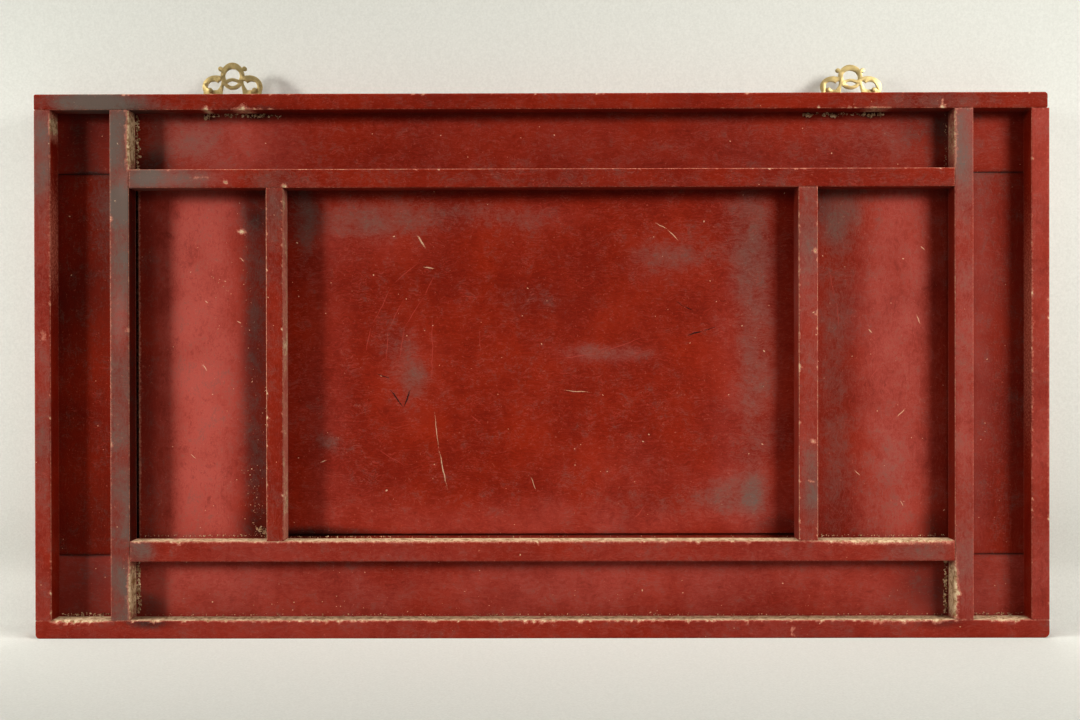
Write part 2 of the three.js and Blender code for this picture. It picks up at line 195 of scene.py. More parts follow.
FILM = {
    "top_rail": ((-397, 0, 34, 12, 0.75), (-350, -2, 40, 10, 0.3), (340, -1, 60, 8, 0.25)),
    "left_stile": ((-438, -40, 10, 60, 0.45), (-436, -300, 8, 60, 0.15)),
    "long_stile_left": ((-370, -60, 12, 90, 0.4), (-370, -440, 10, 30, 0.15)),
    "long_stile_right": ((370, -40, 10, 50, 0.45), (369, -400, 10, 30, 0.2)),
    "upper_rail": ((-353, -67, 20, 14, 0.55), (-318, -67, 34, 12, 0.35), (-230, -68, 30, 9, 0.2)),
    "lower_rail": ((-355, -395, 14, 12, 0.6), (330, -394, 26, 10, 0.3)),
    "short_stile_left_bar": ((-234, -96, 8, 26, 0.35),),
    "short_stile_right_bar": ((234, -110, 8, 40, 0.25), (236, -340, 7, 36, 0.35)),
    "upper_board": ((-318, -30, 40, 26, 0.25), (330, -30, 60, 26, 0.15)),
    "left_board": ((-388, -60, 14, 90, 0.25),),
    "right_board": ((392, -28, 20, 44, 0.35),),
    "left_field": ((-256, -160, 10, 60, 0.2), (-256, -300, 10, 60, 0.12)),
    "middle_field": (
        (-145, -100, 55, 20, 0.34),
        (-60, -96, 40, 10, 0.22),
        (-17, -103, 24, 12, 0.2),
        (113, -134, 36, 16, 0.24),
        (190, -200, 18, 150, 0.3),
        (180, -120, 26, 40, 0.2),
        (174, -348, 30, 18, 0.3),
        (190, -345, 10, 20, 0.25),
        (110, -355, 60, 12, 0.14),
        (-191, -301, 12, 8, 0.4),
        (57, -221, 40, 7, 0.26),
        (-10, -175, 40, 16, 0.12),
        (-112, -246, 14, 16, 0.34),
        (-128, -215, 20, 30, 0.16),
        (-212, -105, 10, 40, 0.4),
    ),
    "right_field": ((268, -95, 22, 26, 0.4), (262, -240, 12, 160, 0.2), (307, -335, 20, 40, 0.15)),
}
# The grime patches are partly painted shade: those in the corners, along the seams and next to the rails stand for
# shade, and the two long bands on the left field are painted shadows of its walls
GRIME_AND_SHADE = {
    "upper_board": (
        (-350, -52, 22, 14, 0.5),
        (345, -20, 24, 20, 0.5),
        (-404, -34, 25, 50, 0.5),
        (-404, -61, 28, 1.2, 0.5),
        (404, -61, 28, 1.2, 0.5),
        (-294, -9, 6, 3, 0.8),
        (-252, -9, 12, 3, 0.8),
        (237, -9, 3, 3, 0.8),
        (260, -9, 4, 3, 0.8),
        (295, -9, 9, 3, 0.8),
    ),
    "lower_board": (
        (-352, -446, 16, 12, 0.4),
        (346, -426, 30, 26, 0.45),
        (-404, -430, 25, 40, 0.35),
        (-404, -400, 28, 1.2, 0.5),
        (404, -400, 28, 1.2, 0.5),
    ),
    "left_field": ((-252, -90, 20, 20, 0.3), (-250, -372, 24, 18, 0.3), (-254, -230, 14, 200, 0.4), (-352, -230, 8, 200, 0.3)),
    "middle_field": ((-216, -98, 20, 26, 0.5), (-200, -381, 50, 5, 0.8), (214, -376, 20, 10, 0.4)),
    "right_field": ((352, -376, 16, 14, 0.4), (250, -90, 10, 16, 0.3)),
    "left_board": ((-404, -60, 28, 1.2, 0.5), (-404, -401, 28, 1.2, 0.5)),
    "right_board": ((404, -60, 28, 1.2, 0.5), (404, -401, 28, 1.2, 0.5)),
    "bottom_rail": ((-345, -457, 22, 5, 0.6), (350, -457, 20, 5, 0.4)),
    "top_rail": ((-360, -5, 20, 5, 0.4), (-250, -6, 30, 3, 0.3)),
}

# Walls that differ from the front of their bar: the way the wall faces, and how faded, chipped and grimy it is. The
# fade on the upward ledges of the lower rail and the bottom rail and on the right wall of the left short stile is
# partly painted light, and the grime on the right wall of the left long stile is partly painted shade
WALLS = {
    "left_stile": {"right": (0.0, 0.0, 0.05)},
    "right_stile": {"left": (0.0, 0.0, 0.0)},
    "lower_rail": {"top": (0.7, 0.75, 0.0)},
    "bottom_rail": {"top": (0.9, 0.72, 0.0)},
    "short_stile_left_bar": {"right": (1.0, 0.46, 0.0), "left": (0.1, 0.1, 0.2)},
    "long_stile_left": {"right": (0.0, 0.0, 0.7)},
    "long_stile_right": {"left": (0.1, 0.0, 0.2)},
}

# Marks on the fields, in millimetres: the kind, the start and end of a stroke as x and z, and its width
MARKS = {
    "middle_field": (
        ("dark", -148, -238, -134, -244, 1.0),
        ("dark", -136, -253, -123, -269, 1.5),
        ("dark", -123, -269, -116, -253, 1.5),
        ("dark", 130, -205, 144, -201, 1.6),
        ("dark", 128, -179, 135, -182, 0.9),
        ("dark", 144, -201, 158, -197, 0.6),
        ("dark", 120, -174, 129, -181, 0.6),
        ("pale", -96, -272, -92, -307, 0.7),
        ("pale", -92, -307, -84, -341, 1.1),
        ("pale", 18, -254, 45, -256, 0.8),
        ("pale", -10, -331, -5, -343, 0.8),
        ("pale", 101, -104, 113, -110, 0.8),
        ("pale", 113, -110, 123, -120, 0.8),
        ("pale", -111, -115, -104, -127, 1.8),
        ("pale", -105, -144, -95, -145, 1.1),
        ("pale", -198, -318, -193, -316, 1.2),
        ("faint", 14, -226, 52, -221, 0.8),
        ("faint", 52, -221, 93, -206, 0.8),
        ("faint", -127, -228, -123, -198, 0.9),
        ("faint", -123, -198, -105, -170, 0.9),
        ("faint", -105, -170, -96, -152, 0.9),
        ("faint", -158, -220, -151, -195, 0.9),
        ("faint", -151, -195, -132, -158, 0.9),
        ("faint", -132, -158, -108, -139, 0.9),
        ("faint", -97, -183, -98, -250, 0.9),
        ("faint", -139, -231, -137, -200, 0.8),
        ("faint", -137, -200, -123, -173, 0.8),
        ("faint", -148, -305, -121, -322, 0.8),
        ("faint", -64, -276, -53, -285, 0.8),
        ("faint", -55, -200, -54, -220, 0.8),
        ("faint", -73, -170, -51, -170, 0.8),
        ("faint", 16, -378, 30, -385, 0.8),
        ("faint", 82, -370, 92, -358, 1.1),
    ),
    "left_field": (
        ("pale", -304, -231, -300, -236, 1.2),
        ("pale", -272, -191, -269, -193, 1.1),
        ("pale", -269, -135, -266, -139, 1.1),
        ("pale", -301, -173, -298, -175, 1.0),
        ("pale", -314, -311, -309, -314, 0.8),
        ("faint", -323, -128, -316, -139, 0.9),
    ),
    "right_field": (
        ("faint", 256, -143, 263, -174, 1.0),
        ("faint", 263, -174, 266, -200, 1.0),
        ("pale", 339, -126, 342, -129, 1.2),
        ("pale", 292, -200, 295, -203, 1.2),
        ("pale", 335, -187, 338, -196, 1.0),
        ("pale", 317, -278, 325, -271, 1.0),
        ("pale", 280, -326, 284, -331, 0.9),
        ("faint", 293, -245, 302, -235, 0.9),
        ("pale", 320, -352, 323, -358, 0.8),
    ),
}

# Soft patches, in the same form, where the lacquer is worn or chipped through on the front, edges and walls; the long
# thin lines along the stiles' edges and the left field's edge are partly painted highlights
WORN_AND_HIGHLIGHT = {
    "left_stile": ((-430, -20, 2.0, 13, 0.75), (-430.5, -120, 2.0, 60, 0.3), (-437, -205, 3, 6, 0.35)),
    "right_stile": ((429, -200, 2.0, 120, 0.3), (445, -240, 2.0, 200, 0.3)),
    "top_rail": ((351.8, -1, 1.5, 1.6, 0.8), (-262, -7, 10, 2.0, 0.6), (-294, -7, 4, 2.0, 0.7), (295, -7, 12, 1.6, 0.6)),
    "bottom_rail": ((-405, -455, 26, 2.0, 0.8), (315, -455, 40, 2.0, 0.5), (407, -455, 10, 1.6, 0.5), (0, -455, 440, 1.0, 0.3)),
    "long_stile_left": ((-361.5, -32, 2.6, 30, 0.9), (-361.5, -430, 2.4, 30, 0.8), (-378.5, -240, 1.6, 200, 0.3)),
    "long_stile_right": ((362, -430, 2.6, 30, 0.95), (362, -33, 2.2, 30, 0.6), (365.5, -431, 2.2, 2.0, 0.8)),
    "lower_rail": ((-80, -386, 300, 1.6, 0.4), (305, -386, 60, 2.6, 0.7)),
    "short_stile_right_bar": ((239.6, -131.7, 1.6, 1.6, 0.8), (237.9, -298.2, 1.4, 1.4, 0.8)),
    "upper_rail": ((-276.5, -70.3, 1.6, 1.4, 0.8), (-298, -66.2, 8, 0.8, 0.35)),
    "left_field": ((-267.5, -111.5, 3.4, 2.4, 1.0), (-302, -233, 2.0, 1.6, 0.6), (-360.2, -230, 0.8, 240, 0.6)),
}

# Chips out of the front edges: x, z, radius and depth in millimetres
CHIPS = {
    "top_rail": ((351.8, -5.8, 3.0, 1.2), (-262, -6.5, 4.5, 1.0), (-294, -6.5, 3.5, 1.0)),
    "bottom_rail": ((219.7, -463.5, 2.0, 0.5), (219.7, -467.5, 2.2, 0.5)),
    "upper_rail": ((-276.5, -70.3, 2.4, 0.5), (-225, -74.5, 3.0, 0.8)),
    "long_stile_right": ((365.5, -431.2, 2.8, 0.7),),
    "short_stile_right_bar": ((240.2, -131.7, 2.6, 0.7), (238.4, -298.2, 2.4, 0.7), (236.5, -333.3, 1.8, 0.5)),
    "long_stile_left": ((-377.5, -102, 2.0, 0.8), (-362, -200, 2.2, 0.6), (-377.8, -300, 2.0, 0.5)),
}
# Runs of small chips: start and end as x and z, how many, and the largest radius and depth
CHIP_RUNS = {
    "bottom_rail": (
        (-430, -455, 428, -455, 120, 3.0, 1.0),
        (-430, -455.5, -385, -455.5, 16, 4.0, 1.8),
        (280, -455, 350, -455, 22, 3.6, 1.6),
        (395, -455, 418, -455, 8, 3.4, 1.4),
    ),
    "top_rail": ((-300, -7, -230, -7, 10, 2.8, 1.0), (235, -7, 305, -7, 14, 2.8, 1.0), (-440, 7, 440, 7, 30, 2.0, 0.5)),
    "lower_rail": ((-360, -385.5, 362, -385.5, 60, 2.6, 0.8), (250, -385.5, 362, -385.5, 30, 3.4, 1.6)),
    "upper_rail": ((-360, -59, 362, -59, 26, 2.0, 0.5),),
    "long_stile_left": ((-361.5, -8, -361.5, -58, 26, 3.2, 1.5), (-361.5, -404, -361.5, -455, 26, 3.0, 1.4)),
    "long_stile_right": ((362, -404, 362, -455, 28, 3.6, 2.0), (362, -8, 362, -58, 18, 3.0, 1.4)),
    "short_stile_left_bar": ((-241.5, -80, -241.5, -384, 26, 2.2, 0.7), (-226.5, -80, -226.5, -384, 20, 2.2, 0.6)),
    "short_stile_right_bar": ((225.5, -80, 225.5, -384, 34, 2.6, 0.9), (242.5, -80, 242.5, -384, 16, 2.0, 0.6)),
    "right_stile": ((429, -10, 429, -450, 14, 2.0, 0.5), (445, -20, 445, -450, 14, 2.0, 0.5)),
    "left_stile": ((-430.5, -10, -430.5, -450, 14, 2.0, 0.5),),
}

# Crumbs of gesso and lacquer: where they lie as x and z, from and to, the face that they lie on, the spread
# across that line, how many, and the largest size in millimetres
CRUMBS = (
    (-359.5, -9, -359.5, -57, GROUND, 1.6, 88, 3.2),
    (-359.5, -405, -359.5, -453, GROUND, 1.8, 100, 3.2),
    (359.5, -405, 359.5, -453, GROUND, 1.6, 88, 3.1),
    (359.8, -9, 359.8, -57, GROUND, 1.2, 32, 1.5),
    (-429, -453.5, -380, -453.5, GROUND, 1.6, 62, 2.2),
    (381, -453.5, 428, -453.5, GROUND, 1.4, 42, 1.9),
    (-358, -453.8, 360, -453.8, GROUND, 0.9, 275, 1.4),
    (-300, -8.6, -228, -8.6, GROUND, 1.6, 58, 2.8),
    (232, -9, 306, -9, GROUND, 1.8, 62, 2.9),
    (-252, -376, -244, -384, FIELD, 3.5, 62, 1.8),
    (-262, -320, -250, -384, FIELD, 9.0, 58, 1.4),
    (-246, -250, -244, -360, FIELD, 1.5, 38, 1.1),
    (-225, -384.3, -128, -384.3, FIELD - 3.0, 0.8, 75, 1.6),
    (-355, -383.5, -246, -383.5, FIELD, 1.0, 88, 1.5),
    (246, -384, 360, -384, FIELD, 1.0, 75, 1.6),
    (-124, -384.2, 224, -384.2, FIELD - 3.0, 0.6, 75, 1.1),
    (-300, -446, -150, -446, GROUND, 8.0, 18, 1.5),
    (-300, -10, -288, -10, GROUND - 0.5, 1.5, 9, 4.5),
    (-264, -9.5, -240, -9.5, GROUND - 0.5, 1.6, 16, 4.5),
    (234, -10, 240, -10, GROUND - 0.5, 1.5, 6, 5.0),
    (256, -10, 265, -10, GROUND - 0.5, 1.5, 8, 4.5),
    (286, -9.5, 304, -9.5, GROUND - 0.5, 1.5, 14, 4.5),
    (-276, -120, -246, -300, FIELD, 16.0, 40, 1.2),
    (-300, -150, -260, -150, FIELD, 60.0, 22, 1.0),
    (-256, -378, -244, -384, FIELD, 3.0, 30, 2.6),
    (-340, -440, 340, -440, GROUND, 16.0, 40, 0.9),
)

# The foot of the backdrop paper, from the floor up, as y and z in millimetres: a tight crease behind the panel,
# a slack belly that turns its face up and then down, and a straight rise
PAPER_PROFILE = (
    (4, -471),
    (9, -470),
    (13, -467),
    (16, -462),
    (19, -454),
    (23, -445),
    (27.5, -435),
    (30.5, -425),
    (31, -415),
    (29, -403),
    (25.5, -390),
    (22.5, -376),
    (21, -360),
    (20.5, -330),
    (20, -250),
    (20, 700),
)

used = {}


def per_mm(size):
    """The scale of a pattern whose features are this many millimetres."""
    return 1 / (size * MM)


def add(tree, kind, inputs=None, output=0, **settings):
    """Adds a shader node with its settings. Each input is a value or another node's output."""
    node = tree.nodes.new("ShaderNode" + kind)
    for name, value in settings.items():
        setattr(node, name, value)
    for name, value in (inputs or {}).items():
        if isinstance(value, bpy.types.NodeSocket):
            tree.links.new(value, node.inputs[name])
        else:
            node.inputs[name].default_value = value
    return node.outputs[output]


def new_material(name):
    """An empty node material."""
    material = bpy.data.materials.new(name)
    material.use_nodes = True
    material.node_tree.nodes.clear()
    return material, material.node_tree


def stroke_distance(tree, place, start_x, start_z, end_x, end_z, width):
    """How far a point is from a tapering stroke: 1 on its outline, 0 along its middle."""
    middle = ((start_x + end_x) / 2 * MM, FIELD * MM, (start_z + end_z) / 2 * MM)
    half_length = math.hypot(end_x - start_x, end_z - start_z) / 2 * MM + width * MM / 2
    turn = Euler((0, -math.atan2(end_z - start_z, end_x - start_x), 0))
    along = add(
        tree,
        "Mapping",
        {"Vector": place, "Location": middle, "Rotation": turn, "Scale": (half_length, 4 * MM, width * MM / 2)},
        vector_type="TEXTURE",
    )
    return add(tree, "VectorMath", {0: along}, output="Value", operation="LENGTH")


def lacquer(name, along, marks=()):
    """Oil lacquer over chalk gesso on softwood: a satin red, with the grain faintly showing, that has faded,
    gathered a grey film and chipped to its gesso along the edges. The fade is in places painted light, the grime
    in places painted shade and the rubbed edges partly a painted highlight. along is the way the grain runs."""
    settings = bpy.context.scene.doorpanel_lacquer
    material, tree = new_material(name)
    place = add(tree, "TexCoord", output="Object")
    wobble = add(tree, "TexNoise", {"Vector": place, "Scale": per_mm(14), "Detail": 2.0}, output="Color")
    centred = add(tree, "VectorMath", {0: wobble, 1: (0.5, 0.5, 0.5)}, operation="SUBTRACT")
    bent = add(tree, "VectorMath", {0: centred, 1: (0.012, 0.012, 0.012), 2: place}, operation="MULTIPLY_ADD")
    drawn_out = (0.04, 1.0, 1.0) if along == "X" else (1.0, 1.0, 0.04)

    # Grain about 1.2 mm across, clouds, mottling and dapples of 70, 16 and 5 mm, and a powder of 1 mm
    grain_place = add(tree, "Mapping", {"Vector": bent, "Scale": drawn_out})
    grain = add(tree, "TexNoise", {"Vector": grain_place, "Scale": per_mm(1.2), "Detail": 5.0, "Roughness": 0.75})
    clouds = add(tree, "TexNoise", {"Vector": place, "Scale": per_mm(70), "Detail": 4.0, "Roughness": 0.6})
    mottle = add(tree, "TexNoise", {"Vector": bent, "Scale": per_mm(16), "Detail": 6.0, "Roughness": 0.66})
    dapple = add(tree, "TexNoise", {"Vector": bent, "Scale": per_mm(5), "Detail": 5.0, "Roughness": 0.72})
    powder = add(tree, "TexNoise", {"Vector": place, "Scale": per_mm(1.0), "Detail": 3.0, "Roughness": 0.7})

    # Red that varies from deep to warm in clouds and mottled patches, a little lighter and darker with the grain
    warmth = add(tree, "Math", {0: mottle, 1: 0.4, 2: clouds}, operation="MULTIPLY_ADD")
    warmth = add(tree, "MapRange", {0: warmth, 1: 0.56, 2: 0.84})
    red = add(tree, "Mix", {0: warmth, 6: settings.deep, 7: settings.warm}, output=2, data_type="RGBA")
    shade = add(tree, "MapRange", {0: grain, 1: 0.3, 2: 0.7, 3: 0.82, 4: 1.18})
    worked = add(tree, "MapRange", {0: dapple, 1: 0.3, 2: 0.7, 3: 0.92, 4: 1.08})
    both = add(tree, "Math", {0: shade, 1: worked}, operation="MULTIPLY")
    red = add(tree, "VectorMath", {0: red, 3: both}, operation="SCALE")

    # Hairline scratches in four directions, in scattered clusters
    clusters = add(tree, "MapRange", {0: mottle, 1: 0.44, 2: 0.62})
    hair = None
    for angle in (14, -38, 62, 97):
        turned = add(
            tree, "Mapping", {"Vector": bent, "Rotation": (0, math.radians(angle), 0), "Scale": (0.05, 1.0, 1.0)}
        )
        line = add(tree, "TexNoise", {"Vector": turned, "Scale": per_mm(0.9), "Detail": 1.0})
        hair = line if hair is None else add(tree, "Math", {0: hair, 1: line}, operation="MAXIMUM")
    hair = add(tree, "MapRange", {0: hair, 1: 0.63, 2: 0.69})
    hair = add(tree, "Math", {0: hair, 1: clusters}, operation="MULTIPLY")
    brushed = add(tree, "MapRange", {0: grain, 1: 0.55, 2: 0.68})
    hair = add(tree, "Math", {0: brushed, 1: 0.6, 2: hair}, operation="MULTIPLY_ADD")
    hair = add(tree, "Math", {0: hair, 1: 0.42}, operation="MULTIPLY", use_clamp=True)
    surface = add(tree, "Mix", {0: hair, 6: red, 7: settings.faded}, output=2, data_type="RGBA")

    # Faded lacquer, partly painted light in the lit middles of the side fields, then grime, partly painted shade in the
    # corners and seams, and the grey film in ragged patches, all broken up by the powder
    uneven = add(tree, "Math", {0: mottle, 1: dapple}, operation="ADD")
    broken = add(tree, "Math", {0: powder, 1: 0.8, 2: uneven}, operation="MULTIPLY_ADD")
    broken = add(tree, "Math", {0: grain, 1: 1.1, 2: broken}, operation="MULTIPLY_ADD")
    texture = add(tree, "MapRange", {0: broken, 1: 1.55, 2: 2.35, 3: 0.35, 4: 1.65}, clamp=True)
    faded = add(tree, "Attribute", output="Fac", attribute_name="faded")
    amount = add(tree, "Math", {0: faded, 1: texture}, operation="MULTIPLY", use_clamp=True)
    surface = add(tree, "Mix", {0: amount, 6: surface, 7: settings.faded}, output=2, data_type="RGBA")
    for layer, tint, ragged in (("grime_and_shade", settings.grime_and_shade, 0.5), ("film", settings.film, 0.75)):
        amount = add(tree, "Attribute", output="Fac", attribute_name=layer)
        amount = add(tree, "Math", {0: broken, 1: ragged, 2: amount}, operation="MULTIPLY_ADD")
        low = ragged * 1.95 + 0.05
        amount = add(tree, "MapRange", {0: amount, 1: low, 2: low + 0.8, 3: 0.0, 4: 0.9})
        surface = add(tree, "Mix", {0: amount, 6: surface, 7: tint}, output=2, data_type="RGBA")

    # Specks of chalk up to a millimetre across, one in every few centimetres
    cells = tree.nodes.new("ShaderNodeTexVoronoi")
    tree.links.new(bent, cells.inputs["Vector"])
    cells.inputs["Scale"].default_value = per_mm(6)
    rarity = add(tree, "SeparateColor", {"Color": cells.outputs["Color"]})
    size = add(tree, "MapRange", {0: rarity, 1: 0.8, 2: 1.0, 3: 0.0, 4: 0.13})
    speck = add(tree, "Math", {0: size, 1: cells.outputs["Distance"]}, operation="SUBTRACT")
    speck = add(tree, "MapRange", {0: speck, 1: 0.0, 2: 0.03})
    speck = add(tree, "Math", {0: speck, 1: 0.6}, operation="MULTIPLY")
    surface = add(tree, "Mix", {0: speck, 6: surface, 7: settings.gesso}, output=2, data_type="RGBA")

    # Strokes: faint rubs, pale scratches and dark ink
    strokes = {"faint": (settings.faded, 0.6), "pale": (settings.gesso, 0.62), "dark": (settings.stroke, 0.92)}
    jitter = add(tree, "VectorMath", {0: centred, 1: (0.004, 0.0, 0.004), 2: place}, operation="MULTIPLY_ADD")
    for kind, (tint, strength) in strokes.items():
        nearest = None
        for mark in marks:
            if mark[0] == kind:
                far = stroke_distance(tree, jitter, *mark[1:])
                nearest = far if nearest is None else add(tree, "Math", {0: nearest, 1: far}, operation="MINIMUM")
        if nearest is not None:
            roughened = add(tree, "Math", {0: powder, 1: 1.6, 2: nearest}, operation="MULTIPLY_ADD")
            cover = add(tree, "MapRange", {0: roughened, 1: 1.3, 2: 1.8, 3: strength, 4: 0.0})
            surface = add(tree, "Mix", {0: cover, 6: surface, 7: tint}, output=2, data_type="RGBA")

    # Edges: rubbed to a pale pink, partly a painted highlight along the rounded edges, then chipped to gesso, with bare
    # wood showing in patches
    wear_and_highlight = add(tree, "Attribute", output="Fac", attribute_name="wear_and_highlight")
    ragged = add(tree, "TexNoise", {"Vector": place, "Scale": per_mm(2.2), "Detail": 4.0, "Roughness": 0.75})
    edge = add(tree, "Math", {0: ragged, 1: 1.3, 2: wear_and_highlight}, operation="MULTIPLY_ADD")
    rubbed = add(tree, "MapRange", {0: edge, 1: 0.8, 2: 1.15, 3: 0.0, 4: 0.8})
    surface = add(tree, "Mix", {0: rubbed, 6: surface, 7: settings.rubbed}, output=2, data_type="RGBA")
    chipped = add(tree, "MapRange", {0: edge, 1: 1.2, 2: 1.32})
    wood = add(tree, "MapRange", {0: dapple, 1: 0.46, 2: 0.6})
    ground = add(tree, "Mix", {0: wood, 6: settings.gesso, 7: settings.bare}, output=2, data_type="RGBA")
    surface = add(tree, "Mix", {0: chipped, 6: surface, 7: ground}, output=2, data_type="RGBA")

    rough = add(tree, "Math", {0: faded, 1: 0.12, 2: settings.roughness}, operation="MULTIPLY_ADD")
    rough = add(tree, "Math", {0: chipped, 1: 0.4, 2: rough}, operation="MULTIPLY_ADD")
    rough = add(tree, "Math", {0: broken, 1: 0.12, 2: rough}, operation="MULTIPLY_ADD", use_clamp=True)
    sheen = add(tree, "Math", {0: faded, 1: 0.4, 2: 0.08}, operation="MULTIPLY_ADD", use_clamp=True)

    relief = add(tree, "Math", {0: dapple, 1: 1.5, 2: grain}, operation="MULTIPLY_ADD")
    relief = add(tree, "Math", {0: powder, 1: 0.3, 2: relief}, operation="MULTIPLY_ADD")
    relief = add(tree, "Math", {0: chipped, 1: -1.6, 2: relief}, operation="MULTIPLY_ADD")
    bump = add(tree, "Bump", {"Height": relief, "Strength": 0.6, "Distance": 0.22 * MM})
    shader = add(
        tree,
        "BsdfPrincipled",
        {"Base Color": surface, "Roughness": rough, "IOR": 1.5, "Specular IOR Level": sheen, "Normal": bump},
    )
    add_output(tree, shader)
    return material


def add_output(tree, shader):
    """Ends a node tree with its surface."""
    out = tree.nodes.new("ShaderNodeOutputMaterial")
    tree.links.new(shader, out.inputs["Surface"])


def from_cad(node):
    """A bmesh of a CAD node's shape, with its loose triangles merged and its flat faces whole."""
    bm = bmesh.new()
    bm.from_mesh(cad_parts[node].data)
    bmesh.ops.remove_doubles(bm, verts=bm.verts, dist=1e-6)
    bmesh.ops.dissolve_limit(bm, angle_limit=math.radians(0.5), verts=bm.verts, edges=bm.edges)
    return bm


def highest(element, axis):
    """The far end of a vertex, edge or face along an axis."""
    if isinstance(element, bmesh.types.BMVert):
        return element.co[axis]
    return max(v.co[axis] for v in element.verts)


def slice_along(bm, axis, step, low, high, only=None):
    """Cuts the mesh across an axis at even steps between two heights."""
    count = max(1, round((high - low) / step))
    normal = Vector([float(i == axis) for i in range(3)])
    geometry = only if only is not None else bm.verts[:] + bm.edges[:] + bm.faces[:]
    for k in range(1, count):
        at = low + (high - low) * k / count
        made = bmesh.ops.bisect_plane(bm, geom=geometry, dist=1e-7, plane_co=normal * at, plane_no=normal)
        geometry = [e for e in made["geom"] if e.is_valid and highest(e, axis) > at + 1e-6]


def strength_at(patches, x, z):
    """The sum of soft patches at a point of the front, in millimetres."""
    total = 0.0
    for px, pz, half_x, half_z, amount in patches:
        away = ((x - px) / half_x) ** 2 + ((z - pz) / half_z) ** 2
        total += amount * math.exp(-(away**1.5))
    return total


def way_of(normal):
    """The way that a wall faces as seen from the front, or nothing for a front, a back or an edge."""
    if abs(normal.x) > 0.9:
        return "right" if normal.x > 0 else "left"
    if abs(normal.z) > 0.9:
        return "top" if normal.z > 0 else "bottom"
    return None


def dress(bm, piece, seed, facts):
    """Gives every vertex its shares of faded, filmed, grimy and worn lacquer. The fade is in places painted light, the
    grime in places painted shade and the wear partly a painted highlight.
    """
    node, along, faded, film, grime_and_shade = facts[:5]
    layers = {name: bm.verts.layers.float.new(name) for name in ("faded", "film", "grime_and_shade", "wear_and_highlight")}
    low, high = (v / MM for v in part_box(node))
    offset = Vector((seed * 17.3, seed * 5.1, seed * 9.7))
    walls = WALLS.get(piece, {})
    for v in bm.verts:
        p = v.co / MM
        broad = noise.noise(p * 0.012 + offset)
        middling = noise.noise(p * 0.04 + offset)
        shares = [faded * (1 + 0.7 * broad + 0.4 * middling), film * (1 + 0.9 * middling), grime_and_shade * (1 + broad)]
        if v.normal.y < 0.5:
            for i, table in enumerate((FADED_AND_PAINTED_LIGHT, FILM, GRIME_AND_SHADE)):
                shares[i] += strength_at(table.get(piece, ()), p.x, p.z) * (1 + 0.5 * middling)
        wall = walls.get(way_of(v.normal))
        if wall and p.y > low.y + 0.8:
            shares = [wall[0] * (1 + 0.8 * middling), 0.0, wall[2]]
            v[layers["wear_and_highlight"]] = wall[1] * (1 + 0.6 * noise.noise(p * 0.06 + offset) + 0.5 * noise.noise(p * 0.3))
        for name, amount in zip(("faded", "film", "grime_and_shade"), shares):
            v[layers[name]] = max(0.0, amount)
        v[layers["wear_and_highlight"]] += strength_at(WORN_AND_HIGHLIGHT.get(piece, ()), p.x, p.z) if v.normal.y < 0.5 else 0.0
    return layers, low, high, offset


def roundness(vertex):
    """0 on a flat face, 1 in the middle of a rounded edge."""
    aligned = max(abs(c) for c in vertex.normal)
    return min(1.0, max(0.0, (1 - aligned) / 0.28))


def wear_and_highlight_edges(bm, layers, low, high, offset, worn, nick):
    """Wears the rounded edges unevenly, deeper on the front edges that the photo shows worn."""
    # The wear given here is partly a painted highlight: the pale rubbed band along each rounded edge stands in for its
    # glint
    left, right, top, bottom = worn
    for v in bm.verts:
        closeness = roundness(v)
        if closeness < 0.04:
            continue
        p = v.co / MM
        sides = ((p.x - low.x, left), (high.x - p.x, right), (high.z - p.z, top), (p.z - low.z, bottom))
        amount = min(sides)[1] if p.y < low.y + 3 else 0.2
        patchy = noise.noise(p * 0.1 + offset)
        fine = noise.noise(p * 0.45 + offset)
        worn_through = closeness * amount * (0.95 + 0.45 * patchy + 0.3 * fine)
        v[layers["wear_and_highlight"]] = max(v[layers["wear_and_highlight"]], worn_through)
        v.co -= v.normal * nick * closeness * amount * (0.35 + max(0.0, patchy + 0.4 * fine))


def chip(bm, verts, layer, x, z, radius, depth):
    """Knocks a shallow hollow out of the front at a point."""
    for v in verts:
        p = v.co / MM
        away = math.hypot(p.x - x, p.z - z, (p.y - FACE) * 1.2) / radius
        if away < 1:
            bowl = (1 - away * away) ** 2
            v.co += Vector((0, depth * bowl * MM, 0))
            toward = Vector((p.x - x, 0, p.z - z))
            if toward.length > 1e-6:
                v.co -= toward.normalized() * 0.2 * depth * bowl * MM
            v[layer] = max(v[layer], 0.25 + 0.75 * (1 - away))


def chips_of(piece, seed):
    """Every chip of a piece: the named ones and those of its runs."""
    dice = random.Random(seed)
    chips = list(CHIPS.get(piece, ()))
    for x0, z0, x1, z1, count, radius, depth in CHIP_RUNS.get(piece, ()):
        for _ in range(count):
            t = dice.random()
            size = 0.45 + 0.55 * dice.random() ** 2
            jitter = dice.uniform(-0.8, 0.8)
            across = (jitter, 0) if abs(x1 - x0) < abs(z1 - z0) else (0, jitter)
            chips.append((x0 + (x1 - x0) * t + across[0], z0 + (z1 - z0) * t + across[1], radius * size, depth * size))
    return chips


def keep_inside(bm, low, high):
    """Keeps every vertex in the box of the CAD node that the piece stands for."""
    for v in bm.verts:
        v.co = Vector([min(max(c, lo * MM), hi * MM) for c, lo, hi in zip(v.co, low, high)])


